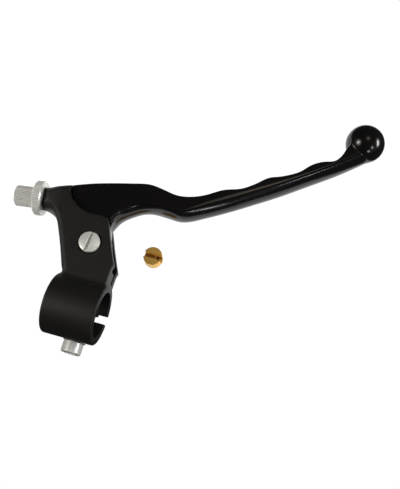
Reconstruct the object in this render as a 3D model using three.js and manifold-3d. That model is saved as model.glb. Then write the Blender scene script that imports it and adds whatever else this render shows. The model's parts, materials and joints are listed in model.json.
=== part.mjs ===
// Motorcycle clutch lever: a clamp-on bracket, a ball-ended lever, its pivot, cable adjuster and trunnion.
// Millimetres. The origin is the centre of the handlebar bore, +X runs along the bar towards the ball end,
// +Y points forwards, away from the rider, and +Z points out of the face with the pivot screw's head.
import * as THREE from "three";
import { mergeVertices } from "three/addons/utils/BufferGeometryUtils.js";
import Module from "manifold-3d";

const wasm = await Module();
wasm.setup();

const DEG = Math.PI / 180;
const GAP = 0.3; // between pieces that touch
const SLIDE = 0.2; // between a shaft and its hole

// Handlebar clamp.
const BAR_R = 11.1; // a 22.2 mm handlebar
const RING_R = 14.5;
const RING_HALF = 12.7; // half the ring's width along the bar
const RING_BREAK = 0.7; // rounded edge of the ring
const SPLIT = [-1.7, 2.5]; // the clamp's split, in Y
const LUG = { halfX: 6.5, low: -22.5, root: -10, back: -11.4, front: 10.8, corner: 3 };
const BOLT = [-0.4, 0, -16.8]; // foot of the clamp bolt's axis
const BOLT_R = 2.9; // M6
const LEAD_IN = 0.6; // chamfer on the ends of screws
const BOLT_HEAD = { r: 5, length: 5.6, edge: 0.5, socketR: 2.9, socketDepth: 3.2 };
const CLAMP_WASHER = { r: 5.7, thick: 1.2 };
const NUT = { acrossFlats: 10, thick: 5 };
const LONG = 60; // longer than any cut
const BOLT_END = 17.5;

// Arm and fork.
const ARM_TOP = 8.5; // the arm is twice this thick
const ARM_SHOULDER = 5; // height where the rounded edges of the arm begin
const FORK_HALF = 4.1; // half the height of the fork's slot
const PIVOT = [-2.5, 31];
const FORK_EDGE_R = 15; // the fork's front edge, an arc round the pivot
const ROUND = 2.6; // pull-in of the arm's broad rounded edge
const CRISP = 0.4; // pull-in of its crisp edges

// Plan of the arm, anticlockwise from the right: x, y and how far the top edge is pulled in.
const ARM_RIGHT = [
  [11.3, 5, 0],
  [11.6, 21.3, CRISP],
  [12.1, 23.5, CRISP],
  [9.2, 29.4, CRISP],
  [6.2, 35.8, CRISP],
  [3, 43.2, CRISP],
];
const ARM_LEFT = [
  [-8.6, 45.9, CRISP],
  [-12.8, 47.1, CRISP],
  [-16.2, 49.2, CRISP],
  [-19, 51.6, CRISP],
  [-20.8, 54.4, CRISP],
  [-21.6, 58.1, ROUND],
  [-25.4, 57.2, ROUND],
  [-28.4, 52, ROUND],
  [-27.4, 43.2, ROUND],
  [-24.4, 40.6, ROUND],
  [-22.3, 38, ROUND],
  [-20.6, 34.8, ROUND],
  [-16.7, 26.8, ROUND],
  [-12.6, 17.4, ROUND],
  [-11.2, 14.4, ROUND],
  [-11.2, 5, 0],
];

// Slot of the fork, open at the front and at the right.
const FORK_SLOT = [
  [-8.8, 20.8],
  [30, 20.8],
  [30, 70],
  [-20.4, 70],
  [-20.4, 52.4],
  [-18.6, 44],
  [-15.6, 35.5],
  [-10.6, 23],
];
const GROOVE = { z: [-4.1, -1.1], y: [13, 22], depth: 8 }; // relief in the arm's right wall

// Cable adjuster. Its axis leaves the bar's direction by ADJUST_TILT and passes ADJUST_OFFSET from the bar.
const ADJUST_TILT = 7.6 * DEG;
const ADJUST_OFFSET = 54;
const BOSS = [
  // distance along the adjuster axis, radius
  [-27.3, 6],
  [-24.4, 6.2],
  [-20.4, 6.7],
  [-17.4, 7],
  [-15, 7.2],
];
const BOSS_HOLE_R = 4.2;
const LOCK_RING = { r: 8.9, from: -32, to: -27.3 - GAP, edge: 0.7 };
const BARREL = { r: 5.4, from: -42.2, to: -32.3, edge: 0.6 };
const SHANK_R = 4; // M8
const SHANK_END = -15.6;
const FERRULE = { r: 3.1, depth: 7.5 };
const CABLE_R = 1.5;

// Lever. The blade is lofted from sections across this direction.
const BLADE_DIRECTION = 30 * DEG;
const BLADE_TOP = 5.2;
const BLADE_BOTTOM = -5.6;
const BLADE_EDGE = 1; // rounding of the blade's front edges
const BLADE_WAIST = -1.9; // height at which the rear side is furthest back
const LEAST_BULGE = 1;
const BULGE_STEPS = 8;
const BLADE_STATIONS = 46;
const BLADE_SPAN = [9, 160.5];
const TONGUE_HALF = 3.8;
const LEVER_BOSS_R = 9.3;
const LEVER_GAP = 0.45; // between the lever's shoulder and the fork
const BALL = { x: 115, y: 121.9, r: 9.85 };

// Front edge of the blade, with three finger hollows.
const BLADE_FRONT = [
  [-24, 56.8],
  [-18.1, 60.2],
  [-9.8, 63.2],
  [5.6, 67.3],
  [15.8, 69.4],
  [22.8, 68.5],
  [29.9, 67.2],
  [36.4, 68],
  [43.4, 70.8],
  [51.5, 75.9],
  [60.1, 79],
  [65.8, 83],
  [71.8, 88.3],
  [77.8, 90.7],
  [85.7, 95.3],
  [91, 100.9],
  [95.9, 104],
  [101.7, 106],
  [104.8, 110.4],
  [106.6, 116],
  [110.5, 121],
  [115, 123],
];
// Rear edge of the blade's flat top face.
const BLADE_CREASE = [
  [-2, 34],
  [2.4, 44.6],
  [5.1, 50.4],
  [9.3, 54.7],
  [13.8, 57.7],
  [19, 59.3],
  [26.4, 58.9],
  [33.7, 58.8],
  [38.5, 61],
  [44.6, 65.2],
  [75.1, 84.4],
  [90.2, 94.7],
  [103.7, 105],
  [114.1, 113.9],
  [119, 118.3],
];
// The rounded rear side at its furthest.
const BLADE_REAR = [
  [1, 32],
  [3.3, 42.2],
  [6.1, 48.6],
  [10.5, 52.6],
  [15.9, 56],
  [20.5, 57.2],
  [28.1, 57.1],
  [34.3, 56.7],
  [39.2, 58],
  [45.6, 61.4],
  [56.5, 67.8],
  [66.4, 74.2],
  [79.2, 82.8],
  [91.9, 92.2],
  [104.9, 101.9],
  [111.3, 107.2],
  [118.4, 113.4],
  [122, 116.5],
];
// Tongue between the fork's cheeks, apart from the round boss.
const TONGUE = [
  [6.6, 29.5],
  [5.6, 36],
  [4.6, 42],
  [7, 48],
  [-4, 58],
  [-18.2, 56],
  [-18, 51],
  [-14.8, 44],
  [-11.6, 33],
];

// Pivot.
const BUSH = { outer: 4.4, inner: 3.2, half: 3.6 };
const PIVOT_SCREW = { r: 3, headR: 5.1, headLow: 7.2, rim: 9.9, crown: 10.6, end: -17 };
const PIVOT_SLOT = { width: 1.7, depth: 1.4, angle: 87 * DEG };
const SINK = { r: 5.5, floor: 6.9 }; // seat of the screw's head
const SPRING_WASHER = { r: 5.3, thick: 1.4, gap: 0.9, slant: 0.5 };

// Cable trunnion, in a blind hole from below, 23 mm from the pivot on the cable's line.
const TRUNNION = { x: -10, r: 4.9, low: -2.8, high: 3.2, edge: 0.4 };
const TRUNNION_SLOT = { halfWidth: 1.3, top: 1 }; // right across, for the cable
const NIPPLE_POCKET = { halfWidth: 1.5, top: 2.1, from: 1.5 }; // deeper end of that slot
const CABLE_SLOT = { top: 1.4, halfWidth: 1.4, sweep: 34 * DEG };

const COAT = { color: 0x23231f, roughness: 0.55, metalness: 0.1 };
const GLOSS = { color: 0x0b0b0a, roughness: 0.15, metalness: 0.1 };
const ZINC = { color: 0xd9d9cd, roughness: 0.35, metalness: 1 };
const BRASS = { color: 0xc79a43, roughness: 0.3, metalness: 1 };
const BRONZE = { color: 0x9a6b3c, roughness: 0.45, metalness: 1 };

// A closed geometry as a solid.
function solid(geometry) {
  const bare = geometry.clone();
  bare.deleteAttribute("normal");
  bare.deleteAttribute("uv");
  const merged = mergeVertices(bare, 1e-4);
  const corners = merged.index.array;
  const triVerts = [];
  for (let i = 0; i < corners.length; i += 3) {
    const [a, b, c] = corners.slice(i, i + 3);
    if (a !== b && b !== c && c !== a) triVerts.push(a, b, c);
  }
  return new wasm.Manifold(
    new wasm.Mesh({
      numProp: 3,
      vertProperties: merged.attributes.position.array,
      triVerts: new Uint32Array(triVerts),
    }),
  );
}

function mesh(name, body, look) {
  const made = body.getMesh();
  const geometry = new THREE.BufferGeometry();
  geometry.setAttribute("position", new THREE.BufferAttribute(made.vertProperties, 3));
  geometry.setIndex(new THREE.BufferAttribute(made.triVerts, 1));
  geometry.computeVertexNormals();
  const result = new THREE.Mesh(geometry, new THREE.MeshStandardMaterial(look));
  result.name = name;
  return result;
}

const union = (...bodies) => bodies.reduce((whole, next) => whole.add(next));
const without = (body, ...cuts) => cuts.reduce((rest, cut) => rest.subtract(cut), body);

// A flat outline extruded from one height to another.
function slab(points, low, high) {
  const shape = new THREE.Shape(points.map(([x, y]) => new THREE.Vector2(x, y)));
  const geometry = new THREE.ExtrudeGeometry(shape, { depth: high - low, bevelEnabled: false });
  return solid(geometry.translate(0, 0, low));
}

function box([x0, x1], [y0, y1], [z0, z1]) {
  const geometry = new THREE.BoxGeometry(x1 - x0, y1 - y0, z1 - z0);
  return solid(geometry.translate((x0 + x1) / 2, (y0 + y1) / 2, (z0 + z1) / 2));
}

// A turned body about +Y of its own frame from (radius, height) points, closed on the axis or on itself,
// with its axis laid along `direction` through `place`.
function turned(profile, direction, place, segments = 32) {
  const points = profile.map(([r, h]) => new THREE.Vector2(r, h));
  const geometry = new THREE.LatheGeometry(points, segments);
  const turn = new THREE.Quaternion().setFromUnitVectors(new THREE.Vector3(0, 1, 0), direction);
  return solid(geometry.applyQuaternion(turn).translate(...place));
}

// A round rod through (radius, height) steps, closed at both ends.
const rod = (steps) => [[0, steps[0][1]], ...steps, [0, steps.at(-1)[1]]];
function cylinder(r, from, to, direction, place, segments = 32) {
  return turned(rod([[r, from], [r, to]]), direction, place, segments);
}

// The profile of a ring with a rectangular section.
const tube = (inner, outer, low, high) => [
  [inner, low],
  [outer, low],
  [outer, high],
  [inner, high],
  [inner, low],
];

const X = new THREE.Vector3(1, 0, 0);
const Y = new THREE.Vector3(0, 1, 0);
const Z = new THREE.Vector3(0, 0, 1);
const ADJUST_AXIS = new THREE.Vector3(Math.cos(ADJUST_TILT), Math.sin(ADJUST_TILT), 0);
const ADJUST_FOOT = [-ADJUST_OFFSET * Math.sin(ADJUST_TILT), ADJUST_OFFSET * Math.cos(ADJUST_TILT), 0];
const TRUNNION_PLACE = [
  TRUNNION.x,
  ADJUST_FOOT[1] + (TRUNNION.x - ADJUST_FOOT[0]) * Math.tan(ADJUST_TILT),
  0,
];
const PIVOT_PLACE = [...PIVOT, 0];

// Rings of equally many points, joined in order and closed by two flat caps.
// `flatten` gives a ring point's two coordinates in the plane of the caps.
function loft(rings, flatten) {
  const count = rings[0].length;
  const position = rings.flat(2);
  const index = [];
  for (let i = 0; i + 1 < rings.length; i++) {
    for (let j = 0; j < count; j++) {
      const a = i * count + j;
      const b = i * count + ((j + 1) % count);
      index.push(a, b, b + count, a, b + count, a + count);
    }
  }
  const cap = (ring) => {
    const outline = ring.map((point) => new THREE.Vector2(...flatten(point)));
    return THREE.ShapeUtils.triangulateShape(outline, []);
  };
  const last = (rings.length - 1) * count;
  for (const [a, b, c] of cap(rings[0])) index.push(c, b, a);
  for (const [a, b, c] of cap(rings.at(-1))) index.push(last + a, last + b, last + c);
  const geometry = new THREE.BufferGeometry();
  geometry.setAttribute("position", new THREE.Float32BufferAttribute(position, 3));
  geometry.setIndex(index);
  return solid(geometry);
}

// Arm outline: the right side, the arc round the pivot and the left side.
function armOutline() {
  const arc = [];
  for (let degrees = 73; degrees <= 100; degrees += 9) {
    const angle = degrees * DEG;
    const x = PIVOT[0] + FORK_EDGE_R * Math.cos(angle);
    const y = PIVOT[1] + FORK_EDGE_R * Math.sin(angle);
    arc.push([x, y, CRISP]);
  }
  return [...ARM_RIGHT, ...arc, ...ARM_LEFT];
}

// Each point moved inwards, square to its neighbours, by its third number.
function pulledIn(outline) {
  return outline.map(([x, y, inset], i) => {
    const [x0, y0] = outline.at(i - 1);
    const [x1, y1] = outline[(i + 1) % outline.length];
    const length = Math.hypot(x1 - x0, y1 - y0);
    return [x - (inset * (y1 - y0)) / length, y + (inset * (x1 - x0)) / length];
  });
}

function arm() {
  const outline = armOutline();
  const edge = pulledIn(outline);
  const rings = [
    edge.map(([x, y]) => [x, y, -ARM_TOP]),
    outline.map(([x, y]) => [x, y, -ARM_SHOULDER]),
    outline.map(([x, y]) => [x, y, ARM_SHOULDER]),
    edge.map(([x, y]) => [x, y, ARM_TOP]),
  ];
  return loft(rings, ([x, y]) => [x, y]);
}

const adjustBoss = () =>
  turned(rod(BOSS.map(([along, r]) => [r, along])), ADJUST_AXIS, ADJUST_FOOT);

function ring() {
  const end = RING_HALF;
  const steps = [
    [RING_R - RING_BREAK, -end],
    [RING_R, -end + RING_BREAK],
    [RING_R, end - RING_BREAK],
    [RING_R - RING_BREAK, end],
  ];
  return turned(rod(steps), X, [0, 0, 0], 64);
}

function lugs() {
  const { halfX, low, root, back, front, corner } = LUG;
  const outline = [
    [-halfX, root],
    [-halfX, low + corner],
    [-halfX + corner, low],
    [halfX - corner, low],
    [halfX, low + corner],
    [halfX, root],
  ];
  const geometry = new THREE.ExtrudeGeometry(
    new THREE.Shape(outline.map(([x, z]) => new THREE.Vector2(x, z))),
    { depth: front - back, bevelEnabled: false },
  );
  return solid(geometry.rotateX(Math.PI / 2).translate(0, front, 0));
}

function perchBody() {
  const bar = cylinder(BAR_R, -LONG, LONG, X, [0, 0, 0], 64);
  const boltHole = cylinder(BOLT_R + SLIDE, -LONG, LONG, Y, BOLT);
  const split = box([-LONG, LONG], SPLIT, [-LONG, 0]);
  const slot = slab(FORK_SLOT, -FORK_HALF, FORK_HALF);
  const pivotHole = cylinder(PIVOT_SCREW.r + SLIDE, -LONG, LONG, Z, PIVOT_PLACE);
  const sink = cylinder(SINK.r, SINK.floor, LONG, Z, PIVOT_PLACE);
  const adjustHole = cylinder(BOSS_HOLE_R, -LONG, 0, ADJUST_AXIS, ADJUST_FOOT);
  const groove = box([ARM_RIGHT[0][0] - GROOVE.depth, LONG], GROOVE.y, GROOVE.z);
  const whole = union(arm(), adjustBoss(), ring(), lugs());
  return without(whole, bar, boltHole, split, slot, pivotHole, sink, adjustHole, groove);
}

// A curve through plan points, as a function from distance along the blade to distance across it.
function acrossBlade(points) {
  const curve = new THREE.CatmullRomCurve3(points.map(([x, y]) => new THREE.Vector3(x, y, 0)));
  const cos = Math.cos(BLADE_DIRECTION);
  const sin = Math.sin(BLADE_DIRECTION);
  const samples = curve
    .getPoints(points.length * 12)
    .map(({ x, y }) => [x * cos + y * sin, y * cos - x * sin]);
  return (along) => {
    const i = Math.max(1, samples.findIndex(([u]) => u > along));
    const [u0, v0] = samples[i - 1];
    const [u1, v1] = samples[i];
    return v0 + ((v1 - v0) * (along - u0)) / (u1 - u0);
  };
}

// One section of the blade: flat top and bottom, an upright front side and a rounded rear side.
function bladeSection(along, front, crease, rear) {
  const corners = [
    [front - BLADE_EDGE, BLADE_BOTTOM],
    [front, BLADE_BOTTOM + BLADE_EDGE],
    [front, BLADE_TOP - BLADE_EDGE],
    [front - BLADE_EDGE, BLADE_TOP],
  ];
  const bulge = Math.max(crease - rear, LEAST_BULGE);
  const rise = BLADE_TOP - BLADE_WAIST;
  const radius = (bulge ** 2 + rise ** 2) / (2 * bulge);
  const upper = Math.asin(rise / radius);
  const lower = Math.asin((BLADE_BOTTOM - BLADE_WAIST) / radius);
  for (let step = 0; step <= BULGE_STEPS; step++) {
    const angle = upper + ((lower - upper) * step) / BULGE_STEPS;
    corners.push([crease - bulge + radius * (1 - Math.cos(angle)), BLADE_WAIST + radius * Math.sin(angle)]);
  }
  const cos = Math.cos(BLADE_DIRECTION);
  const sin = Math.sin(BLADE_DIRECTION);
  return corners.map(([across, z]) => [along * cos - across * sin, along * sin + across * cos, z]);
}

function blade() {
  const front = acrossBlade(BLADE_FRONT);
  const crease = acrossBlade(BLADE_CREASE);
  const rear = acrossBlade(BLADE_REAR);
  const rings = [];
  for (let i = 0; i <= BLADE_STATIONS; i++) {
    const along = BLADE_SPAN[0] + ((BLADE_SPAN[1] - BLADE_SPAN[0]) * i) / BLADE_STATIONS;
    const edge = front(along);
    rings.push(bladeSection(along, edge, Math.min(crease(along), edge - 2), rear(along)));
  }
  return loft(rings, ([x, y, z]) => [y * Math.cos(BLADE_DIRECTION) - x * Math.sin(BLADE_DIRECTION), z]);
}

// The bracket's own outline, widened by the running gap, which the lever's shoulder stays clear of.
function forkClearance() {
  const tall = 12;
  const outline = slab(armOutline(), -tall, tall);
  const copies = [];
  for (let step = 0; step < 8; step++) {
    const angle = step * 45 * DEG;
    copies.push(outline.translate([LEVER_GAP * Math.cos(angle), LEVER_GAP * Math.sin(angle), 0]));
  }
  return union(...copies);
}

// The hollow from below that takes the trunnion and lets the cable swing as the lever is pulled.
function cableHollow() {
  const { top, halfWidth, sweep } = CABLE_SLOT;
  const low = 2 * BLADE_BOTTOM;
  const pocket = cylinder(TRUNNION.r + SLIDE, low, TRUNNION.high + SLIDE, Z, TRUNNION_PLACE);
  const reach = 22;
  const [x, y] = TRUNNION_PLACE;
  const away = Math.PI + ADJUST_TILT;
  const fan = [[x + halfWidth, y + halfWidth]];
  fan.push([x + reach * Math.cos(away), y + reach * Math.sin(away) + halfWidth]);
  for (let step = 1; step <= 4; step++) {
    const angle = away + (sweep * step) / 4;
    fan.push([x + reach * Math.cos(angle), y + reach * Math.sin(angle)]);
  }
  fan.push([x + halfWidth, y - halfWidth]);
  return union(pocket, slab(fan, low, top));
}

function leverBlade() {
  const sphere = new THREE.SphereGeometry(BALL.r, 28, 18).rotateX(Math.PI / 2);
  const ball = solid(sphere.translate(BALL.x, BALL.y, 0));
  const tongue = slab(TONGUE, -TONGUE_HALF, TONGUE_HALF);
  const boss = cylinder(LEVER_BOSS_R, -TONGUE_HALF, TONGUE_HALF, Z, PIVOT_PLACE, 48);
  const thick = without(blade(), forkClearance());
  const bore = cylinder(BUSH.outer + SLIDE, -LONG, LONG, Z, PIVOT_PLACE);
  return without(union(thick, tongue, boss, ball), bore, cableHollow());
}

function pivotScrew() {
  const { r, headR, headLow, rim, crown, end } = PIVOT_SCREW;
  const shank = [[r - LEAD_IN, end], [r, end + LEAD_IN], [r, headLow]];
  const rise = crown - rim;
  const dome = [[headR * 0.85, rim + rise * 0.45], [headR * 0.5, rim + rise * 0.85]];
  const profile = [[0, end], ...shank, [headR, headLow], [headR, rim], ...dome, [0, crown]];
  const { width, depth, angle } = PIVOT_SLOT;
  const slot = new THREE.BoxGeometry(4 * headR, width, 2 * depth).rotateZ(angle);
  return turned(profile, Z, PIVOT_PLACE).subtract(solid(slot.translate(...PIVOT, crown)));
}

function hexNut(direction, place, low, screwR) {
  const body = cylinder(NUT.acrossFlats / Math.sqrt(3), low, low + NUT.thick, direction, place, 6);
  return body.subtract(cylinder(screwR + SLIDE, -LONG, LONG, direction, place));
}

function pivotNut() {
  const low = -ARM_TOP - GAP - SPRING_WASHER.thick - GAP - NUT.thick;
  return hexNut(Z, PIVOT_PLACE, low, PIVOT_SCREW.r);
}

function springWasher() {
  const { r, thick, gap, slant } = SPRING_WASHER;
  const high = -ARM_TOP - GAP;
  const whole = turned(tube(PIVOT_SCREW.r + SLIDE, r, high - thick, high), Z, PIVOT_PLACE);
  const cut = new THREE.BoxGeometry(r, gap, 4 * thick).rotateX(slant);
  return whole.subtract(solid(cut.translate(PIVOT[0] + r, PIVOT[1], high - thick / 2)));
}

const pivotBush = () => turned(tube(BUSH.inner, BUSH.outer, -BUSH.half, BUSH.half), Z, PIVOT_PLACE);

function adjusterBarrel() {
  const { r, from, to, edge } = BARREL;
  const profile = [
    [FERRULE.r, from],
    [r - edge, from],
    [r, from + edge],
    [r, to],
    [SHANK_R, to],
    [SHANK_R, SHANK_END - LEAD_IN],
    [SHANK_R - LEAD_IN, SHANK_END],
    [CABLE_R, SHANK_END],
    [CABLE_R, from + FERRULE.depth],
    [FERRULE.r, from + FERRULE.depth],
    [FERRULE.r, from],
  ];
  return turned(profile, ADJUST_AXIS, ADJUST_FOOT);
}

function lockRing() {
  const { r, from, to, edge } = LOCK_RING;
  const inner = SHANK_R + SLIDE;
  const profile = [
    [inner, from],
    [r - edge, from],
    [r, from + edge],
    [r, to - edge],
    [r - edge, to],
    [inner, to],
    [inner, from],
  ];
  return turned(profile, ADJUST_AXIS, ADJUST_FOOT, 40);
}

function clampBolt() {
  const { r, length, edge, socketR, socketDepth } = BOLT_HEAD;
  const seat = LUG.back - GAP - CLAMP_WASHER.thick - GAP;
  const top = seat - length;
  const head = [[r - edge, top], [r, top + edge], [r, seat], [BOLT_R, seat]];
  const end = [[BOLT_R, BOLT_END - LEAD_IN], [BOLT_R - LEAD_IN, BOLT_END]];
  const socket = cylinder(socketR, top - length, top + socketDepth, Y, BOLT, 6);
  return turned(rod([...head, ...end]), Y, BOLT).subtract(socket);
}

function clampWasher() {
  const high = LUG.back - GAP;
  const profile = tube(BOLT_R + SLIDE, CLAMP_WASHER.r, high - CLAMP_WASHER.thick, high);
  return turned(profile, Y, BOLT);
}

const clampNut = () => hexNut(Y, BOLT, LUG.front + GAP, BOLT_R);

// A straight slot in the trunnion's lower face, from one distance along the cable's line to another.
function trunnionSlot(halfWidth, top, from, to) {
  const { low, high } = TRUNNION;
  const bottom = low - high;
  const cut = new THREE.BoxGeometry(to - from, 2 * halfWidth, top - bottom);
  cut.translate((from + to) / 2, 0, (top + bottom) / 2).rotateZ(ADJUST_TILT);
  return solid(cut.translate(...TRUNNION_PLACE));
}

function cableTrunnion() {
  const { r, low, high, edge } = TRUNNION;
  const steps = [[r - edge, low], [r, low + edge], [r, high - edge], [r - edge, high]];
  const slot = trunnionSlot(TRUNNION_SLOT.halfWidth, TRUNNION_SLOT.top, -2 * r, 2 * r);
  const pocket = trunnionSlot(NIPPLE_POCKET.halfWidth, NIPPLE_POCKET.top, NIPPLE_POCKET.from, 2 * r);
  return without(turned(rod(steps), Z, TRUNNION_PLACE), slot, pocket);
}

const clutchLever = new THREE.Group();
clutchLever.add(
  mesh("perch_body", perchBody(), COAT),
  mesh("lever_blade", leverBlade(), GLOSS),
  mesh("pivot_screw", pivotScrew(), ZINC),
  mesh("pivot_nut", pivotNut(), ZINC),
  mesh("pivot_spring_washer", springWasher(), ZINC),
  mesh("pivot_bush", pivotBush(), BRONZE),
  mesh("adjuster_barrel", adjusterBarrel(), ZINC),
  mesh("adjuster_lock_ring", lockRing(), ZINC),
  mesh("clamp_bolt", clampBolt(), ZINC),
  mesh("clamp_washer", clampWasher(), ZINC),
  mesh("clamp_nut", clampNut(), ZINC),
  mesh("cable_trunnion", cableTrunnion(), BRASS),
);

export default clutchLever;
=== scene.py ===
"""Motorcycle clutch lever: its fine surfaces, materials, light and camera, placed by the part's frame.

Every piece is the zero surface of a distance-like field, written in millimetres in the part's own frame
(+X along the handlebar, +Y forwards, +Z out of the face with the pivot screw's head). `net` turns a field
into a mesh in metres, with its vertices on the surface and its normals along the field's gradient.
"""
import json
import math

import bpy
import numpy as np
from mathutils import Matrix, Vector


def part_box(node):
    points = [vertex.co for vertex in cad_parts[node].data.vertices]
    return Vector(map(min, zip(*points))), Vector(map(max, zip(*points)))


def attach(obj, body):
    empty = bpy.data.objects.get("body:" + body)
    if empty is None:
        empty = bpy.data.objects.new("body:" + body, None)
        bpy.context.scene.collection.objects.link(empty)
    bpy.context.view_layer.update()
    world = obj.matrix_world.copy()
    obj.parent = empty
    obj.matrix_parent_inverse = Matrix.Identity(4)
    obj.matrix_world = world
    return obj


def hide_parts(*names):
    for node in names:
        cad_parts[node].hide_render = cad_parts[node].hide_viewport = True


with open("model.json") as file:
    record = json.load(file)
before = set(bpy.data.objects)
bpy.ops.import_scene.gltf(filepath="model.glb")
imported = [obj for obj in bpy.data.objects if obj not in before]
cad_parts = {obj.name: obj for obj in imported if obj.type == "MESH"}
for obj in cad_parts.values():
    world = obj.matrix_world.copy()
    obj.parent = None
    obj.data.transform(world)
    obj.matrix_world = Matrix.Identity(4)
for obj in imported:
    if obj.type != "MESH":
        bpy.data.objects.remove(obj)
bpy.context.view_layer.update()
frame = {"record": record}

MM = 0.001
DEG = math.pi / 180

# ---------------------------------------------------------------- places that the frame gives

joints = {joint["name"]: joint for joint in frame["record"]["behaviour"]["joints"]}


def mm(point):
    return np.array(point) / MM


def node_box(node):
    low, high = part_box(node)
    return mm(low), mm(high)


PIVOT = mm(joints["lever_pull"]["pos_m"])
TRUNNION = mm(joints["trunnion_swivel"]["pos_m"])
OUTWARD = np.array(joints["adjuster_travel"]["axis"])  # along the adjuster, away from the lever
RING_SPOT = mm(joints["lock_ring_spin"]["pos_m"])
ADJUST_FOOT = RING_SPOT - OUTWARD * (RING_SPOT @ OUTWARD)  # the adjuster's line is nearest the origin here
CABLE_TURN = math.atan2(-OUTWARD[1], -OUTWARD[0])  # direction of the cable, from the adjuster inwards
UP = (0, 0, 1)
FORWARD = (0, 1, 0)

# ---------------------------------------------------------------- sizes, in millimetres

BAR_R = 11.1  # bore of the clamp ring, for a 22.2 mm handlebar
RING = {"r": 14.5, "half": 12.7, "edge": 0.9, "fillet": 1.8}
SPLIT = (-1.7, 2.5)  # the two sides of the slit between the lugs, along +Y
LUG = {
    "half": 6.5, "low": -22.5, "top": -8.0, "back": -11.4, "front": 10.8,
    "corner": 3.2, "edge": 1.2, "fillet": 1.5,
}
BOLT_AT = (-0.4, 0, -16.8)  # a point on the clamp bolt's axis, which runs along +Y
BOLT = {"r": 2.9, "end": 17.5, "head_r": 5.0, "head": 5.6, "socket": 2.5, "depth": 3.2}
CLAMP_WASHER = {"r": 5.7, "thick": 1.2}
NUT = {"flats": 10.0, "thick": 5.0}
THREAD = {"pitch": 1.0, "depth": 0.45, "nut_depth": 0.3}
GAP = 0.3  # left between pieces that touch
SLIDE = 0.2  # left round a shank in its hole
OVERLAP = 0.5  # how far a shank runs into its own head

ARM_TOP = 8.5  # height of the fork plates' outer faces
ARM_BROAD = 3.0  # rounding of the arm's left and front edges
ARM_CRISP = 0.7  # rounding of its other edges
FORK_HALF = 4.1  # half the gap between the fork's plates
FORK_EDGE_R = 15.0  # round end of the fork, about the pivot
FORK_ARC = range(73, 101, 3)  # where its points are, in degrees round the pivot
GROOVE = {"z": (-4.1, -1.1), "y": (13.0, 22.0), "x": 3.3}  # slot in the arm's right side, below the fork

ARM_RIGHT = [(11.3, 0), (11.6, 21.3), (12.1, 23.5), (9.2, 29.4), (6.2, 35.8), (3, 43.2)]
ARM_NECK = [(-8.6, 45.9), (-12.8, 47.1), (-16.2, 49.2), (-19, 51.6), (-20.8, 54.4), (-21.5, 58.2)]
ARM_FRONT = [(-21.5, 58.2), (-25.9, 56.7), (-30.2, 56.2), (-37, 55.2)]
ARM_LEFT = [
    (-35, 43.8), (-30.6, 43.9), (-27.4, 42.9), (-24.4, 40.6), (-22.3, 38), (-20.6, 34.8),
    (-16.7, 26.8), (-12.6, 17.4), (-11.2, 14.4), (-11.2, 7), (-11.2, 0),
]
FORK_SLOT = [
    (-8.8, 20.8), (30, 20.8), (30, 70), (-20.4, 70), (-20.4, 52.4), (-18.6, 44), (-15.6, 35.5), (-10.6, 23),
]

# The arm narrows into a round boss for the adjuster, over these distances along the adjuster from its foot.
BOSS = {"end": -27.3, "start": -17.0, "r": 6.0, "edge": 0.5}
BOSS_HOLE_R = 4.2
LOCK_RING = {"r": 8.9, "from": -32.0, "to": -27.6, "edge": 0.7, "teeth": 62}
BARREL = {"r": 5.4, "from": -42.2, "to": -32.3, "edge": 0.6, "teeth": 38}
KNURL_DEPTH = 0.34
SHANK = {"r": 4.0, "end": -15.6, "pitch": 1.25, "depth": 0.6}
FERRULE = {"r": 3.1, "depth": 7.5}
CABLE_R = 1.5

BLADE_DIRECTION = 30 * DEG
BLADE_TOP = 5.2
BLADE_BOTTOM = -5.6
BLADE_WAIST = -1.9  # height at which the rear side is furthest back
BLADE_EDGE = 1.0
CREASE_EDGE = 0.75
BLADE_START = 9.0  # where the blade begins, measured along it
BLADE_LEAST = {"top": 2.0, "bulge": 1.0}  # least width of the top face and of the bowed rear side
TONGUE_HALF = 3.8  # half the thickness of what goes between the fork's plates
LEVER_BOSS_R = 9.3
LEVER_GAP = 0.45  # left between the blade and the arm's edge
BALL = {"at": (115, 121.9, 0), "r": 9.85}
BLADE_FRONT = [
    (-35, 53.4), (-18.1, 60.3), (-9.8, 63.2), (5.6, 67.3), (15.8, 69.4), (22.8, 68.5), (29.9, 67.2),
    (36.4, 68), (43.4, 70.8), (51.5, 75.9), (60.1, 79), (65.8, 83), (71.8, 88.3), (77.8, 90.7),
    (85.7, 95.3), (91, 100.9), (95.9, 104), (101.7, 106), (104.8, 110.4), (106.6, 116), (110.5, 121),
    (115, 123),
]
BLADE_CREASE = [
    (-2, 34), (2.4, 44.6), (5.1, 50.4), (9.3, 54.7), (13.8, 57.7), (19, 59.3), (26.4, 58.9),
    (33.7, 58.8), (38.5, 61), (44.6, 65.2), (75.1, 84.4), (90.2, 94.7), (103.7, 105),
    (114.1, 113.9), (119, 118.3),
]
BLADE_REAR = [
    (1, 32), (3.3, 42.2), (6.1, 48.6), (10.5, 52.6), (15.9, 56), (20.5, 57.2), (28.1, 57.1),
    (34.3, 56.7), (39.2, 58), (45.6, 61.4), (56.5, 67.8), (66.4, 74.2), (79.2, 82.8), (91.9, 92.2),
    (104.9, 101.9), (111.3, 107.2), (118.4, 113.4), (122, 116.5),
]
TONGUE = [
    (6.6, 29.5), (5.4, 36), (3.4, 42), (4.4, 47), (-4, 58), (-18.2, 56), (-18, 51), (-14.8, 44), (-11.6, 33),
]
CABLE_HOLLOW = {"top": 1.4, "half": 1.4, "sweep": 34 * DEG, "reach": 22.0, "steps": 4}

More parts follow.
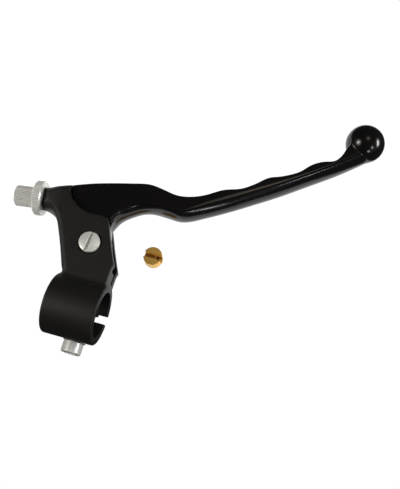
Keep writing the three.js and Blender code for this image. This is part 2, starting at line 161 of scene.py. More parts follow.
BUSH = {"outer": 4.4, "inner": 3.2, "half": 3.6}
SCREW = {"r": 3.0, "head": 5.1, "low": 7.2, "rim": 9.9, "crown": 10.6, "end": -17.0}
SCREW_SLOT = {"half": 0.85, "depth": 1.4, "angle": 87 * DEG}
SINK = {"r": 5.5, "floor": 6.9}
SPRING_WASHER = {"r": 5.3, "thick": 1.4, "half_gap": 0.4, "slant": 0.5}
PIN = {"r": 4.9, "low": -2.8, "high": 3.2, "edge": 0.4}
PIN_SLOT = {"half": 1.3, "top": 1.0}
NIPPLE_POCKET = {"half": 1.5, "top": 2.1, "from": 1.5}

# ---------------------------------------------------------------- fields

# The last value given to union, meet and cut is the radius of the fillet or of the rounded edge.


def union(a, b, r=0.0):
    """Both bodies, with a fillet of radius r where they meet."""
    if np.ndim(r) == 0 and r == 0:
        return np.minimum(a, b)
    return np.maximum(r, np.minimum(a, b)) - np.hypot(np.maximum(r - a, 0), np.maximum(r - b, 0))


def meet(a, b, r=0.0):
    """What both bodies share, with its edge rounded to radius r."""
    return -union(-a, -b, r)


def cut(a, b, r=0.0):
    return meet(a, -b, r)


def between(value, low, high):
    return np.abs(value - (low + high) / 2) - (high - low) / 2


def curve(points, step=0.3):
    """A smooth centripetal curve through plan points, sampled about every `step`."""
    p = np.array(points, float)
    p = np.vstack([2 * p[:1] - p[1:2], p, 2 * p[-1:] - p[-2:-1]])
    out = []
    for p0, p1, p2, p3 in zip(p, p[1:], p[2:], p[3:]):
        chords = [np.linalg.norm(b - a) for a, b in ((p0, p1), (p1, p2), (p2, p3))]
        knots = np.cumsum([0] + [chord**0.5 for chord in chords])
        count = max(2, int(np.linalg.norm(p2 - p1) / step))
        t = np.linspace(knots[1], knots[2], count, endpoint=False)[:, None]
        a1 = ((knots[1] - t) * p0 + t * p1) / knots[1]
        a2 = ((knots[2] - t) * p1 + (t - knots[1]) * p2) / (knots[2] - knots[1])
        a3 = ((knots[3] - t) * p2 + (t - knots[2]) * p3) / (knots[3] - knots[2])
        b1 = ((knots[2] - t) * a1 + t * a2) / knots[2]
        b2 = ((knots[3] - t) * a2 + (t - knots[1]) * a3) / (knots[3] - knots[1])
        out.append(((knots[2] - t) * b1 + (t - knots[1]) * b2) / (knots[2] - knots[1]))
    return np.vstack([*out, p[-2:-1]])


def polygon_distance(points, outline):
    """Signed distance from plan points to a closed outline, negative inside."""
    best = np.full(len(points), np.inf)
    inside = np.zeros(len(points), bool)
    for a, b in zip(outline, np.roll(outline, -1, axis=0)):
        edge = b - a
        if not edge.any():
            continue
        w = points - a
        along = np.clip(w @ edge / (edge @ edge), 0, 1)[:, None]
        best = np.minimum(best, np.sum((w - along * edge) ** 2, axis=1))
        crosses = (points[:, 1] >= a[1]) != (points[:, 1] >= b[1])
        rise = edge[1] if edge[1] else 1.0
        inside ^= crosses & (points[:, 0] < a[0] + edge[0] * (points[:, 1] - a[1]) / rise)
    return np.sqrt(best) * np.where(inside, -1, 1)


class Plan:
    """The signed distance to a closed plan outline, kept on a grid and read back by cubic interpolation."""

    step = 0.25
    margin = 6.0  # grid kept round the outline

    def __init__(self, outline):
        outline = np.array(outline, float)
        self.low = outline.min(0) - self.margin
        size = outline.max(0) + self.margin - self.low
        self.count = np.ceil(size / self.step).astype(int) + 1
        x = self.low[0] + self.step * np.arange(self.count[0])
        y = self.low[1] + self.step * np.arange(self.count[1])
        grid = np.stack(np.meshgrid(x, y, indexing="ij"), axis=-1).reshape(-1, 2)
        self.values = polygon_distance(grid, outline).reshape(self.count)

    def __call__(self, x, y):
        i, f = self.place(x, 0)
        j, g = self.place(y, 1)
        total = 0.0
        for di, wi in zip((-1, 0, 1, 2), self.weights(f)):
            for dj, wj in zip((-1, 0, 1, 2), self.weights(g)):
                total = total + wi * wj * self.values[i + di, j + dj]
        return total

    def place(self, value, axis):
        at = np.clip((value - self.low[axis]) / self.step, 1, self.count[axis] - 3.001)
        whole = at.astype(int)
        return whole, at - whole

    @staticmethod
    def weights(f):
        return (
            ((-0.5 * f + 1) * f - 0.5) * f,
            (1.5 * f - 2.5) * f * f + 1,
            ((-1.5 * f + 2) * f + 0.5) * f,
            (0.5 * f - 0.5) * f * f,
        )


def tooth(angle, count):
    """A wave round the axis with a rounded crest, from about 0 on the crests to 1 in the valleys."""
    phase = np.abs(((angle * count / (2 * math.pi)) % 1.0) - 0.5) * 2
    return np.sqrt((1 - phase) ** 2 + 0.02)


def thread(radius, height, angle, pitch, depth):
    """Radius of a screw thread whose crests reach `radius`."""
    phase = np.abs(((height / pitch - angle / (2 * math.pi)) % 1.0) - 0.5) * 2
    return radius - depth * np.clip(1.15 * phase - 0.1, 0, 1)


def turned_about(p, place, axis):
    """Distance along an axis, distance from it and angle round it."""
    axis = np.array(axis, float)
    side = np.cross(axis, (0, 0, 1) if abs(axis[2]) < 0.9 else (1, 0, 0))
    side = side / np.linalg.norm(side)
    other = np.cross(axis, side)
    w = p - np.array(place)
    a, b = w @ side, w @ other
    return w @ axis, np.hypot(a, b), np.arctan2(b, a)


def rotated(x, y, angle):
    """x and y in a frame turned by an angle."""
    return x * math.cos(angle) + y * math.sin(angle), y * math.cos(angle) - x * math.sin(angle)


# ---------------------------------------------------------------- meshing


def slopes(field, p, h=0.02):
    """The field's gradient from four samples round each point."""
    total = np.zeros_like(p)
    for corner in ((1, -1, -1), (-1, -1, 1), (-1, 1, -1), (1, 1, 1)):
        corner = np.array(corner, float)
        total += corner * field(p + h * corner)[:, None]
    return total / (4 * h)


def onto(field, p, reach, rounds=2):
    """Points moved onto the zero surface."""
    for _ in range(rounds):
        g = slopes(field, p)
        size = np.maximum(np.sum(g * g, axis=1), 0.05)  # keeps the shift finite where the field is flat
        shift = field(p) / size
        length = np.abs(shift) * np.sqrt(size)
        shift = shift * np.minimum(1, reach / np.maximum(length, 1e-9))
        p = p - shift[:, None] * g
    return p


SLAB = 400000  # points sampled at a time


def sample(field, axes):
    """The field's values on a grid."""
    values = np.empty([len(a) for a in axes])
    yz = np.stack(np.meshgrid(axes[1], axes[2], indexing="ij"), axis=-1).reshape(-1, 2)
    slab = max(1, SLAB // len(yz))
    for start in range(0, len(axes[0]), slab):
        xs = axes[0][start:start + slab]
        p = np.empty((len(xs), len(yz), 3))
        p[:, :, 0] = xs[:, None]
        p[:, :, 1:] = yz
        values[start:start + slab] = field(p.reshape(-1, 3)).reshape(len(xs), len(axes[1]), len(axes[2]))
    return values


# The corners of a cell, and the pairs of them that share an edge.
CORNERS = [(i, j, k) for i in (0, 1) for j in (0, 1) for k in (0, 1)]
EDGES = [(a, b) for a in range(8) for b in range(a + 1, 8) if bin(a ^ b).count("1") == 1]


def corners_inside(inside):
    """How many of each cell's eight corners are inside the surface."""
    nx, ny, nz = (length - 1 for length in inside.shape)
    return sum(inside[i:i + nx, j:j + ny, k:k + nz].astype(int) for i, j, k in CORNERS)


def crossings(values, cells, axes, pitch):
    """The mean of the points where the surface crosses each cell's edges."""
    corner_values = [values[tuple((cells + c).T)] for c in CORNERS]
    total = np.zeros((len(cells), 3))
    hits = np.zeros(len(cells))
    for a, b in EDGES:
        va, vb = corner_values[a], corner_values[b]
        crossed = (va < 0) != (vb < 0)
        share = np.where(crossed, va / np.where(crossed, va - vb, 1), 0)[:, None]
        point = np.array(CORNERS[a]) + share * (np.array(CORNERS[b]) - CORNERS[a])
        total += np.where(crossed[:, None], point, 0)
        hits += crossed
    origin = np.array([a[0] for a in axes])
    return origin + pitch * (cells + total / hits[:, None])


def quads_across(inside, index, axis):
    """One face for each grid edge along an axis that the surface crosses."""
    u, v = [(1, 2), (2, 0), (0, 1)][axis]
    here = [slice(1, -1)] * 3
    here[axis] = slice(0, -1)
    there = list(here)
    there[axis] = slice(1, None)
    a, b = inside[tuple(here)], inside[tuple(there)]
    where = np.argwhere(a != b)
    leaving = a[tuple(where.T)]
    spot = where.copy()
    spot[:, u] += 1
    spot[:, v] += 1
    corners = []
    for du, dv in ((-1, -1), (0, -1), (0, 0), (-1, 0)):
        cell = spot.copy()
        cell[:, u] += du
        cell[:, v] += dv
        corners.append(index[tuple(cell.T)])
    quads = np.stack(corners, axis=1)
    quads[~leaving] = quads[~leaving][:, ::-1]
    return quads


def relaxed(p, quads):
    """Each vertex halfway to the mean of its neighbours."""
    a = quads.ravel()
    b = np.roll(quads, -1, axis=1).ravel()
    ends, others = np.concatenate([a, b]), np.concatenate([b, a])
    count = np.bincount(ends, minlength=len(p))
    mean = np.stack([np.bincount(ends, p[others, i], len(p)) for i in range(3)], axis=1) / count[:, None]
    return (p + mean) / 2


RELAX_ROUNDS = 3


def net(name, field, low, high, pitch, turn):
    """The zero surface of a field as a mesh object, meshed on a grid that is turned about +Z."""
    out = np.array([[math.cos(turn), math.sin(turn), 0], [-math.sin(turn), math.cos(turn), 0], [0, 0, 1]])

    def local(p):
        return field(p @ out)

    axes = [np.arange(lo - 2 * pitch, hi + 3 * pitch, pitch) for lo, hi in zip(low, high)]
    values = sample(local, axes)
    inside = values < 0
    count = corners_inside(inside)
    cells = np.argwhere((count > 0) & (count < 8))
    index = np.full(count.shape, -1)
    index[tuple(cells.T)] = np.arange(len(cells))
    quads = np.vstack([quads_across(inside, index, axis) for axis in range(3)])
    p = onto(local, crossings(values, cells, axes, pitch), pitch)
    for _ in range(RELAX_ROUNDS):
        p = onto(local, relaxed(p, quads), pitch / 2, 1)
    p = onto(local, p, pitch / 2)
    normals = slopes(local, p)
    normals /= np.maximum(np.linalg.norm(normals, axis=1), 1e-9)[:, None]
    mesh = bpy.data.meshes.new(name)
    mesh.from_pydata((p @ out * MM).tolist(), [], quads.tolist())
    mesh.polygons.foreach_set("use_smooth", [True] * len(quads))
    mesh.normals_split_custom_set_from_vertices((normals @ out).tolist())
    mesh.update()
    piece = bpy.data.objects.new(name, mesh)
    bpy.context.scene.collection.objects.link(piece)
    return piece


# ---------------------------------------------------------------- bracket

fork_arc = [
    (PIVOT[0] + FORK_EDGE_R * math.cos(a * DEG), PIVOT[1] + FORK_EDGE_R * math.sin(a * DEG))
    for a in FORK_ARC
]
arm_left = curve(ARM_LEFT)
arm_plan = Plan(np.vstack([ARM_RIGHT, fork_arc, curve(ARM_NECK), ARM_FRONT, arm_left]))
# The left and front edges alone, closed far out on the right, for their broader rounding.
broad_plan = Plan(np.vstack([[(40, -4), (40, 70)], ARM_FRONT, arm_left, [(-11.2, -4)]]))
slot_plan = Plan(FORK_SLOT)


def along_adjuster(p):
    """Distance along the adjuster from its foot, growing towards the lever; radius; angle."""
    return turned_about(p, ADJUST_FOOT, -OUTWARD)


def bracket(p):
    """Arm with its fork and boss, split clamp ring and lugs, with every hole and slot."""
    x, y, z = p.T
    t, rho, _ = along_adjuster(p)
    share = np.clip((BOSS["start"] - t) / (BOSS["start"] - BOSS["end"]), 0, 1)
    share = share * share * (3 - 2 * share)
    flat = np.abs(z) - ARM_TOP + (ARM_TOP - BOSS["r"]) * share
    broad = ARM_BROAD + (BOSS["r"] - ARM_BROAD) * share
    arm = np.maximum(meet(arm_plan(x, y), flat, ARM_CRISP), meet(broad_plan(x, y), flat, broad))
    body = meet(arm, BOSS["end"] - t, BOSS["edge"])
    across = np.hypot(y, z)
    ring = meet(across - RING["r"], np.abs(x) - RING["half"], RING["edge"])
    body = union(body, ring, RING["fillet"])
    lug = meet(np.abs(x) - LUG["half"], LUG["low"] - z, LUG["corner"])
    lug = meet(lug, between(y, LUG["back"], LUG["front"]), LUG["edge"])
    body = union(body, np.maximum(lug, z - LUG["top"]), LUG["fillet"])
    body = cut(body, across - BAR_R, 0.5)
    body = cut(body, np.maximum(between(y, *SPLIT), z), 0.35)
    body = cut(body, np.hypot(x - BOLT_AT[0], z - BOLT_AT[2]) - BOLT["r"] - SLIDE, 0.3)
    body = cut(body, np.maximum(slot_plan(x, y), np.abs(z) - FORK_HALF), 0.35)
    groove = np.maximum(between(y, *GROOVE["y"]), between(z, *GROOVE["z"]))
    body = cut(body, np.maximum(groove, GROOVE["x"] - x), 0.35)
    around = np.hypot(x - PIVOT[0], y - PIVOT[1])
    body = cut(body, around - SCREW["r"] - SLIDE, 0.3)
    body = cut(body, meet(around - SINK["r"], SINK["floor"] - z, 0.2), 0.4)
    return cut(body, np.maximum(rho - BOSS_HOLE_R, t), 0.4)


# ---------------------------------------------------------------- lever

EDGE_STEP = 0.2
EDGE_SOFT = 5  # how far the blade's edges are smoothed, in steps


def across_blade(points):
    """A blade edge as a function from distance along the blade to distance across it, with its slant."""
    u, v = rotated(*curve(points, EDGE_STEP).T, BLADE_DIRECTION)
    order = np.argsort(u, kind="stable")
    even = np.arange(u.min(), u.max(), EDGE_STEP)
    v = np.interp(even, u[order], v[order])
    reach = 3 * EDGE_SOFT
    weights = np.exp(-0.5 * (np.arange(-reach, reach + 1) / EDGE_SOFT) ** 2)
    v = np.convolve(np.pad(v, reach, mode="edge"), weights / weights.sum(), mode="valid")
    slant = 1 / np.hypot(1, np.gradient(v, even))
    return lambda along: (np.interp(along, even, v), np.interp(along, even, slant))


blade_front = across_blade(BLADE_FRONT)
blade_crease = across_blade(BLADE_CREASE)
blade_rear = across_blade(BLADE_REAR)
tongue_plan = Plan(TONGUE)


def blade_field(x, y, z):
    """Flat top and bottom, an upright front side and a bowed rear side between two creases."""
    u, v = rotated(x, y, BLADE_DIRECTION)
    front, front_slant = blade_front(u)
    crease, crease_slant = blade_crease(u)
    rear, _ = blade_rear(u)
    crease = np.minimum(crease, front - BLADE_LEAST["top"])
    bulge = np.maximum(crease - rear, BLADE_LEAST["bulge"])
    rise = BLADE_TOP - BLADE_WAIST
    radius = (bulge**2 + rise**2) / (2 * bulge)
    behind = np.minimum(v - (crease - bulge + radius), 0)
    side = (np.hypot(behind, z - BLADE_WAIST) - radius) * crease_slant
    body = meet(between(z, BLADE_BOTTOM, BLADE_TOP), side, CREASE_EDGE)
    return meet(body, (v - front) * front_slant, BLADE_EDGE), u


def hollow_plan():
    """Plan of the fan in which the cable swings, from the trunnion towards the adjuster."""
    half, sweep, reach, steps = (CABLE_HOLLOW[key] for key in ("half", "sweep", "reach", "steps"))
    x, y = TRUNNION[:2]
    away = math.atan2(OUTWARD[1], OUTWARD[0]) % (2 * math.pi)
    fan = [(x + half, y + half), (x + reach * math.cos(away), y + reach * math.sin(away) + half)]
    for step in range(1, steps + 1):
        angle = away + sweep * step / steps
        fan.append((x + reach * math.cos(angle), y + reach * math.sin(angle)))
    return Plan(fan + [(x + half, y - half)])


fan_plan = hollow_plan()


def lever(p):
    """Blade, ball and tongue in one, with the eye, the trunnion's pocket and the cable's hollow."""
    x, y, z = p.T
    blade, u = blade_field(x, y, z)
    ball_u = rotated(BALL["at"][0], BALL["at"][1], BLADE_DIRECTION)[0]
    body = np.maximum(blade, np.maximum(u - ball_u, BLADE_START - u))
    body = cut(body, arm_plan(x, y) - LEVER_GAP, 0.3)
    thin = np.abs(z) - TONGUE_HALF
    around = np.hypot(x - PIVOT[0], y - PIVOT[1])
    root = union(meet(tongue_plan(x, y), thin, 0.3), meet(around - LEVER_BOSS_R, thin, 0.3), 0.5)
    body = union(body, root, 0.3)
    ball = np.linalg.norm(p - np.array(BALL["at"]), axis=1) - BALL["r"]
    body = union(body, ball, 0.5)
    body = cut(body, around - BUSH["outer"] - SLIDE, 0.3)
    pocket = np.hypot(x - TRUNNION[0], y - TRUNNION[1]) - PIN["r"] - SLIDE
    body = cut(body, np.maximum(pocket, z - PIN["high"] - SLIDE), 0.4)
    return cut(body, np.maximum(fan_plan(x, y), z - CABLE_HOLLOW["top"]), 0.4)


# ---------------------------------------------------------------- screws, nuts and washers


def towards_flat(rho, angle):
    """Distance from the axis of a hexagon towards its nearest flat."""
    sector = (angle + math.pi / 6) % (math.pi / 3) - math.pi / 6
    return rho * np.cos(sector)


def bolt_thread(radius, height, angle):
    return thread(radius, height, angle, THREAD["pitch"], THREAD["depth"])


def pivot_screw(p):
    t, rho, angle = turned_about(p, PIVOT, UP)
    low, head, crown = SCREW["low"], SCREW["head"], SCREW["crown"]
    rise = crown - SCREW["rim"]
    dome = (head**2 + rise**2) / (2 * rise)
    cap = np.hypot(rho, t - crown + dome) - dome
    top = meet(meet(rho - head, cap, 0.35), low - t, 0.3)
    threaded = np.where(t < -ARM_TOP, bolt_thread(SCREW["r"], t, angle), SCREW["r"])
    shank = meet(meet(rho - threaded, SCREW["end"] - t, 0.5), t - low - OVERLAP)
    _, aside = rotated(p[:, 0] - PIVOT[0], p[:, 1] - PIVOT[1], SCREW_SLOT["angle"])
    slot = np.maximum(np.abs(aside) - SCREW_SLOT["half"], crown - SCREW_SLOT["depth"] - t)
    return cut(union(top, shank, 0.3), slot, 0.15)


def hexagon(t, rho, angle, flats, centre, thick):
    """A nut's outside: six flats and a chamfer turned at 30 degrees at both ends."""
    sides = towards_flat(rho, angle) - flats / 2
    ends = np.abs(t - centre) - thick / 2
    chamfer = 0.5 * (rho - flats / 2 - 0.1) + 0.866 * ends
    return meet(meet(sides, ends, 0.12), chamfer, 0.12)


def nut(p, place, axis, centre, bore):
    t, rho, angle = turned_about(p, place, axis)
    body = hexagon(t, rho, angle, NUT["flats"], centre, NUT["thick"])
    hole = rho - thread(bore + SLIDE, t, angle, THREAD["pitch"], THREAD["nut_depth"])
    countersink = 0.7 * (rho - bore - 0.5) - 0.7 * (np.abs(t - centre) - NUT["thick"] / 2)
    return cut(cut(body, hole), countersink, 0.1)


def pivot_nut(p):
    centre = -ARM_TOP - GAP - SPRING_WASHER["thick"] - GAP - NUT["thick"] / 2
    return nut(p, PIVOT, UP, centre, SCREW["r"])


def clamp_nut(p):
    centre = LUG["front"] + GAP + NUT["thick"] / 2
    return nut(p, BOLT_AT, FORWARD, centre, BOLT["r"])


def spring_washer(p):
    t, rho, _ = turned_about(p, PIVOT, UP)
    high = -ARM_TOP - GAP
    flat = between(t, high - SPRING_WASHER["thick"], high)
    body = meet(between(rho, SCREW["r"] + SLIDE, SPRING_WASHER["r"]), flat, 0.15)
    x, y = p[:, 0] - PIVOT[0], p[:, 1] - PIVOT[1]
    gap = np.abs(y + SPRING_WASHER["slant"] * (t - high)) - SPRING_WASHER["half_gap"]
    gap = np.maximum(gap, -x)
    return cut(body, gap, 0.1)


def washer(p):
    t, rho, _ = turned_about(p, BOLT_AT, FORWARD)
    high = LUG["back"] - GAP
    flat = between(t, high - CLAMP_WASHER["thick"], high)
    return meet(between(rho, BOLT["r"] + SLIDE, CLAMP_WASHER["r"]), flat, 0.2)


def bush(p):
    t, rho, _ = turned_about(p, PIVOT, UP)
    return meet(between(rho, BUSH["inner"], BUSH["outer"]), np.abs(t) - BUSH["half"], 0.25)


def clamp_bolt(p):
    t, rho, angle = turned_about(p, BOLT_AT, FORWARD)
    seat = LUG["back"] - GAP - CLAMP_WASHER["thick"] - GAP
    top = seat - BOLT["head"]
    head = meet(meet(rho - BOLT["head_r"], top - t, 0.6), t - seat, 0.2)
    threaded = np.where(t > 0, bolt_thread(BOLT["r"], t, angle), BOLT["r"])
    shank = meet(meet(rho - threaded, t - BOLT["end"], 0.5), seat - OVERLAP - t)
    socket = np.maximum(towards_flat(rho, angle) - BOLT["socket"], t - top - BOLT["depth"])
    return cut(union(head, shank, 0.3), socket, 0.15)


# ---------------------------------------------------------------- adjuster and trunnion


def knurled(t, rho, angle, size):
    """A turned knob with a straight knurl between its two chamfers of 45 degrees."""
    ends = between(t, size["from"], size["to"])
    plain = meet(rho - size["r"] + 0.1, ends, 0.1)
    chamfer = 0.707 * (rho - size["r"] + size["edge"]) + 0.707 * ends
    teeth = rho - size["r"] + KNURL_DEPTH * tooth(angle, size["teeth"])
    return meet(np.maximum(plain, chamfer), teeth)


def barrel(p):
    t, rho, angle = along_adjuster(p)
    knob = knurled(t, rho, angle, BARREL)
    threaded = thread(SHANK["r"], t, angle, SHANK["pitch"], SHANK["depth"])
    shank = meet(meet(rho - threaded, t - SHANK["end"], 0.5), BARREL["to"] - OVERLAP - t)
    body = union(knob, shank)
    seat = meet(rho - FERRULE["r"], t - BARREL["from"] - FERRULE["depth"])
    return cut(cut(body, seat, 0.35), rho - CABLE_R, 0.3)


def lock_ring(p):
    t, rho, angle = along_adjuster(p)
    body = knurled(t, rho, angle, LOCK_RING)
    depth = THREAD["nut_depth"]
    hole = rho - thread(SHANK["r"] + SLIDE + depth, t, angle, SHANK["pitch"], depth)
    return cut(body, hole, 0.15)


def trunnion(p):
    t, rho, _ = turned_about(p, TRUNNION, UP)
    body = meet(rho - PIN["r"], between(t, PIN["low"], PIN["high"]), PIN["edge"])
    along, aside = rotated(p[:, 0] - TRUNNION[0], p[:, 1] - TRUNNION[1], CABLE_TURN)
    slot = meet(np.abs(aside) - PIN_SLOT["half"], t - PIN_SLOT["top"], 0.3)
    pocket = np.maximum(np.abs(aside) - NIPPLE_POCKET["half"], t - NIPPLE_POCKET["top"])
    pocket = np.maximum(pocket, NIPPLE_POCKET["from"] - along)
    return cut(cut(body, slot, 0.2), pocket, 0.15)


# ---------------------------------------------------------------- materials


class Look:
    """A material with one Principled shader, and short words for the nodes that feed it."""

    def __init__(self, name, **plain):
        self.material = bpy.data.materials.new(name)
        self.material.use_nodes = True
        self.tree = self.material.node_tree
        self.shader = self.tree.nodes["Principled BSDF"]
        for socket, value in plain.items():
            self.shader.inputs[socket.replace("_", " ")].default_value = value
        self.where = self.tree.nodes.new("ShaderNodeTexCoord").outputs["Object"]

    def node(self, kind, **settings):
        made = self.tree.nodes.new(kind)
        for key, value in settings.items():
            setattr(made, key, value)
        return made

    def link(self, source, target):
        self.tree.links.new(source, target)

    def noise(self, per_mm, detail=3.0, rough=0.5):
        made = self.node("ShaderNodeTexNoise")
        made.inputs["Scale"].default_value = per_mm / MM
        made.inputs["Detail"].default_value = detail
        made.inputs["Roughness"].default_value = rough
        self.link(self.where, made.inputs["Vector"])
        return made.outputs["Fac"]

    def cells(self, per_mm):
        made = self.node("ShaderNodeTexVoronoi")
        made.inputs["Scale"].default_value = per_mm / MM
        self.link(self.where, made.inputs["Vector"])
        return made.outputs["Distance"]

    def remap(self, value, low, high, to_low, to_high):
        made = self.node("ShaderNodeMapRange")
        for key, number in zip(("From Min", "From Max", "To Min", "To Max"), (low, high, to_low, to_high)):
            made.inputs[key].default_value = number
        self.link(value, made.inputs["Value"])
        return made.outputs["Result"]

    def mix(self, share, first, second):
        """A colour between two colours or outputs."""
        made = self.node("ShaderNodeMix", data_type="RGBA")
        self.link(share, made.inputs["Factor"])
        for key, value in (("A", first), ("B", second)):
            socket = next(s for s in made.inputs if s.name == key and s.type == "RGBA")
            if isinstance(value, tuple):
                socket.default_value = (*value, 1)
            else:
                self.link(value, socket)
        return next(s for s in made.outputs if s.type == "RGBA")

    def maths(self, operation, first, second):
        made = self.node("ShaderNodeMath", operation=operation)
        for socket, value in zip(made.inputs, (first, second)):
            if isinstance(value, (int, float)):
                socket.default_value = value
            else:
                self.link(value, socket)
        return made.outputs[0]

    def bump(self, height, depth_mm):
        made = self.node("ShaderNodeBump")
        made.inputs["Distance"].default_value = depth_mm * MM
        self.link(height, made.inputs["Height"])
        return made.outputs["Normal"]

    def edges(self, low, high):
        """How far a place is out on a convex edge."""
        return self.remap(self.node("ShaderNodeNewGeometry").outputs["Pointiness"], low, high, 0, 1)

    def hollow(self, reach_mm):
        """How far a place is enclosed by the surfaces round it, from 0 in the open to 1; used to paint shade
        into hollows.
        """
        made = self.node("ShaderNodeAmbientOcclusion")
        made.inputs["Distance"].default_value = reach_mm * MM
        return self.maths("SUBTRACT", 1.0, made.outputs["AO"])

    def colour(self, value):
        self.link(value, self.shader.inputs["Base Color"])

    def roughness(self, value):
        self.link(value, self.shader.inputs["Roughness"])

    def normal(self, value):
        self.link(value, self.shader.inputs["Normal"])


def satin_black_coat():
    look = Look("satin_black_coat")
    mottle = look.noise(0.12, 4)
    grain = look.noise(3.2, 2)
    base = look.mix(mottle, (0.0057, 0.0052, 0.0038), (0.0092, 0.0083, 0.0061))
    # Lighter on convex edges: partly edge wear, partly a painted highlight.
    edge_wear_and_highlight = look.maths("MULTIPLY", look.edges(0.53, 0.62), look.remap(look.noise(0.6, 4), 0.35, 0.7, 0.2, 1))
    # Darker and less shiny in hollows: painted shade.
    painted_shade = look.remap(look.hollow(20.0), 0.25, 0.65, 0, 1)
    look.colour(look.mix(painted_shade, look.mix(edge_wear_and_highlight, base, (0.05, 0.047, 0.041)), (0.003, 0.003, 0.0025)))
    look.link(look.remap(painted_shade, 0, 1, 0.42, 0.05), look.shader.inputs["Specular IOR Level"])
    look.roughness(look.remap(grain, 0.3, 0.7, 0.46, 0.58))
    look.normal(look.bump(grain, 0.05))
    return look.material


def gloss_black_coat():
    look = Look("gloss_black_coat", Specular_IOR_Level=0.5)
    specks = look.remap(look.cells(0.28), 0.0, 0.045, 1, 0)
    tint = look.noise(0.05, 3)
    base = look.mix(tint, (0.003, 0.003, 0.003), (0.0065, 0.005, 0.004))
    look.colour(look.mix(look.maths("MULTIPLY", specks, 0.5), base, (0.16, 0.15, 0.13)))
    look.roughness(look.remap(look.noise(0.25, 4), 0.3, 0.7, 0.14, 0.2))
    look.normal(look.bump(look.noise(0.3, 2), 0.003))
    return look.material


def zinc_plate():
    look = Look("zinc_plate", Metallic=0.25, Specular_IOR_Level=0.9)
    base = look.mix(look.noise(0.15, 3), (0.95, 0.95, 0.87), (0.98, 0.98, 0.92))
    # Darker in hollows and grooves: painted shade.
    look.colour(look.mix(look.remap(look.hollow(0.6), 0.08, 0.55, 0, 1), base, (0.16, 0.15, 0.12)))
    look.roughness(look.remap(look.noise(0.9, 4), 0.3, 0.7, 0.26, 0.36))
    look.normal(look.bump(look.noise(2.5, 3), 0.003))
    return look.material


def brass():
    look = Look("brass", Metallic=0.2, Specular_IOR_Level=0.5)
    base = look.mix(look.noise(0.3, 3), (0.98, 0.52, 0.085), (1, 0.63, 0.14))
    # Dark brown in the slot and hollows: painted shade.
    painted_shade = look.remap(look.hollow(2.5), 0.2, 0.5, 0, 1)
    look.colour(look.mix(painted_shade, base, (0.06, 0.022, 0.004)))
    look.roughness(look.remap(look.noise(0.8, 3), 0.3, 0.7, 0.38, 0.46))
    look.normal(look.bump(look.noise(1.5, 2), 0.002))
    return look.material


def bronze():
    look = Look("bronze", Metallic=1.0)
    grain = look.noise(3, 4)
    look.colour(look.mix(grain, (0.3, 0.16, 0.06), (0.5, 0.3, 0.13)))
    look.roughness(look.remap(grain, 0.3, 0.7, 0.35, 0.55))
    look.normal(look.bump(grain, 0.03))
    return look.material


looks = {make.__name__: make() for make in (satin_black_coat, gloss_black_coat, zinc_plate, brass, bronze)}

# ---------------------------------------------------------------- pieces

# Node it replaces: field, body, slot, mesh pitch.
PIECES = {
    "perch_body": (bracket, "perch", "satin_black_coat", 0.42),
    "pivot_screw": (pivot_screw, "perch", "zinc_plate", 0.2),
    "pivot_nut": (pivot_nut, "perch", "zinc_plate", 0.2),
    "pivot_spring_washer": (spring_washer, "perch", "zinc_plate", 0.2),
    "clamp_bolt": (clamp_bolt, "perch", "zinc_plate", 0.2),
    "clamp_washer": (washer, "perch", "zinc_plate", 0.2),
    "clamp_nut": (clamp_nut, "perch", "zinc_plate", 0.2),
    "lever_blade": (lever, "lever", "gloss_black_coat", 0.34),
    "pivot_bush": (bush, "lever", "bronze", 0.2),
    "cable_trunnion": (trunnion, "trunnion", "brass", 0.18),
    "adjuster_barrel": (barrel, "adjuster", "zinc_plate", 0.16),
    "adjuster_lock_ring": (lock_ring, "lock_ring", "zinc_plate", 0.16),
}

# Pieces whose grid is turned about +Z, to lie along their slot or blade.
TURNS = {
    "lever_blade": BLADE_DIRECTION,
    "pivot_screw": SCREW_SLOT["angle"],
    "cable_trunnion": CABLE_TURN,
}
LEVER_ALONG = (2.5, 171.5)  # what the lever takes up along and across its blade
LEVER_ACROSS = (17.5, 67)


def grid_box(node, turn):
    """Corners of the box round a node, in a frame turned about +Z."""
    low, high = node_box(node)
    if node == "lever_blade":
        u, v = np.array(LEVER_ALONG), np.array(LEVER_ACROSS)
    else:
        corners = np.array([(x, y) for x in (low[0], high[0]) for y in (low[1], high[1])])
        u, v = rotated(*corners.T, turn)
    return (u.min(), v.min(), low[2]), (u.max(), v.max(), high[2])


fine = {}
for node, (field, body, slot, pitch) in PIECES.items():
    turn = TURNS.get(node, 0.0)
    low, high = grid_box(node, turn)
    piece = net("fine_" + node, field, low, high, pitch, turn)
    piece.data.materials.append(looks[slot])
    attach(piece, body)
    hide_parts(node)
    fine[node] = piece

# ---------------------------------------------------------------- stage, light and camera

FLOOR = -22.8
FLOOR_FROM, FLOOR_TO = (-400, 12), (132, 180)  # a sheet of white card, with a dark room beyond it
LOOSE = {"at": (23.8, 40.1), "turn": 6 * DEG}


def loose_trunnion():
    """A second trunnion, lying on the floor with its slot up. It is a prop, not part of the object."""
    copy = bpy.data.objects.new("loose_trunnion", fine["cable_trunnion"].data)
    bpy.context.scene.collection.objects.link(copy)
    back = Matrix.Translation([-v * MM for v in TRUNNION])
    over = Matrix.Rotation(math.pi, 4, "X")
    turn = Matrix.Rotation(LOOSE["turn"], 4, "Z")
    place = Matrix.Translation([v * MM for v in (*LOOSE["at"], FLOOR + PIN["high"])])
    copy.matrix_world = place @ turn @ over @ back
    return copy


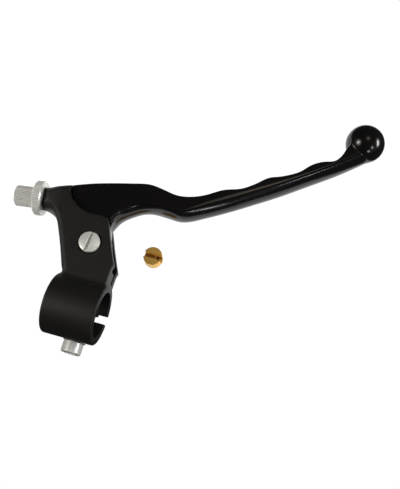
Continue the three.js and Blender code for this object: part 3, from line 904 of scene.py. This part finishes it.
def floor():
    look = Look("floor_white", Roughness=0.9)
    look.colour(look.mix(look.noise(0.01, 2), (0.1, 0.1, 0.1), (0.12, 0.12, 0.12)))
    look.shader.inputs["Emission Color"].default_value = (1, 1, 1, 1)
    look.shader.inputs["Emission Strength"].default_value = 1.0
    mesh = bpy.data.meshes.new("floor")
    (left, near), (right, far) = FLOOR_FROM, FLOOR_TO
    corners = [(left, near), (right, near), (right, far), (left, far)]
    mesh.from_pydata([(x * MM, y * MM, FLOOR * MM) for x, y in corners], [], [(0, 1, 2, 3)])
    mesh.materials.append(look.material)
    made = bpy.data.objects.new("floor", mesh)
    bpy.context.scene.collection.objects.link(made)
    return made


MIDDLE = Vector((0.045, 0.055, 0))
FAR = 0.9  # distance of the softboxes from the object

# Directions from the object to the lights.
KEY = (-0.697, -0.278, 0.661)
WINDOW = (0.92, 0.2, 0.337)
WINDOW_TALL = (-0.277, 0.905, 0.322)
OVERHEAD = (0.155, 0.194, 0.969)
LOW_RIGHT = (0.733, -0.411, 0.541)
LOW_BACK = (0.532, -0.789, 0.307)
HAZE = (0.85, -0.4, 0.25)

WHITE = (1, 1, 1)
WARM = (1, 0.97, 0.93)
COOL = (0.95, 0.98, 1)


def softbox(name, direction, half_width, half_height, radiance, colour=WHITE, tall=UP):
    """A flat oval light seen from the object in a direction, with half its width and height in degrees."""
    data = bpy.data.lights.new(name, "AREA")
    data.shape = "ELLIPSE"
    data.size = 2 * FAR * math.tan(half_width * DEG)
    data.size_y = 2 * FAR * math.tan(half_height * DEG)
    area = data.size * data.size_y * (math.pi / 4)
    data.energy = math.pi * area * radiance
    data.color = colour
    made = bpy.data.objects.new(name, data)
    bpy.context.scene.collection.objects.link(made)
    back = Vector(direction).normalized()
    right = Vector(tall).cross(back).normalized()
    facing = Matrix((right, back.cross(right), back)).transposed()
    made.matrix_world = Matrix.Translation(MIDDLE + FAR * back) @ facing.to_4x4()
    made.visible_camera = False


def sky():
    """A white backdrop, which the object sees as a dark room."""
    world = bpy.data.worlds.new("studio")
    world.use_nodes = True
    tree = world.node_tree
    background = tree.nodes["Background"]
    background.inputs["Color"].default_value = (0.05, 0.05, 0.055, 1)
    backdrop = tree.nodes.new("ShaderNodeBackground")
    backdrop.inputs["Color"].default_value = (1, 1, 1, 1)
    path = tree.nodes.new("ShaderNodeLightPath")
    mix = tree.nodes.new("ShaderNodeMixShader")
    tree.links.new(path.outputs["Is Camera Ray"], mix.inputs[0])
    tree.links.new(background.outputs[0], mix.inputs[1])
    tree.links.new(backdrop.outputs[0], mix.inputs[2])
    tree.links.new(mix.outputs[0], tree.nodes["World Output"].inputs["Surface"])
    bpy.context.scene.world = world


# Camera: where it stands and the directions of its right, up and back.
CAMERA_AT = (0.08206, -0.05312, 0.29038)
CAMERA_RIGHT = (0.96283, 0.26924, -0.02151)
CAMERA_UP = (-0.24610, 0.90734, 0.34084)
CAMERA_BACK = (0.11128, -0.32288, 0.93988)
LENS = 46.5
SENSOR = 36.0


def camera():
    data = bpy.data.cameras.new("camera")
    data.lens = LENS
    data.sensor_width = SENSOR
    data.sensor_fit = "AUTO"
    data.clip_start = 0.01
    made = bpy.data.objects.new("camera", data)
    bpy.context.scene.collection.objects.link(made)
    rotation = Matrix((CAMERA_RIGHT, CAMERA_UP, CAMERA_BACK)).transposed()
    made.matrix_world = Matrix.Translation(CAMERA_AT) @ rotation.to_4x4()
    bpy.context.scene.camera = made


floor()
loose_trunnion()
sky()
softbox("key", KEY, 5.5, 5.5, 23, WARM)
softbox("key_halo", KEY, 17, 17, 2.2, WARM)
softbox("window", WINDOW, 5, 12, 20, COOL, tall=WINDOW_TALL)
softbox("window_halo", WINDOW, 10, 19, 2, COOL, tall=WINDOW_TALL)
softbox("overhead", OVERHEAD, 5, 5, 2.2, (1, 0.85, 0.65))
softbox("overhead_halo", OVERHEAD, 11, 11, 0.8, (1, 0.9, 0.8))
softbox("low_right", LOW_RIGHT, 4, 4.5, 15)
softbox("low_back", LOW_BACK, 5, 3.5, 15)
softbox("haze", HAZE, 22, 6, 0.25, (0.6, 0.75, 1))
camera()
bpy.context.scene.view_settings.view_transform = "Standard"
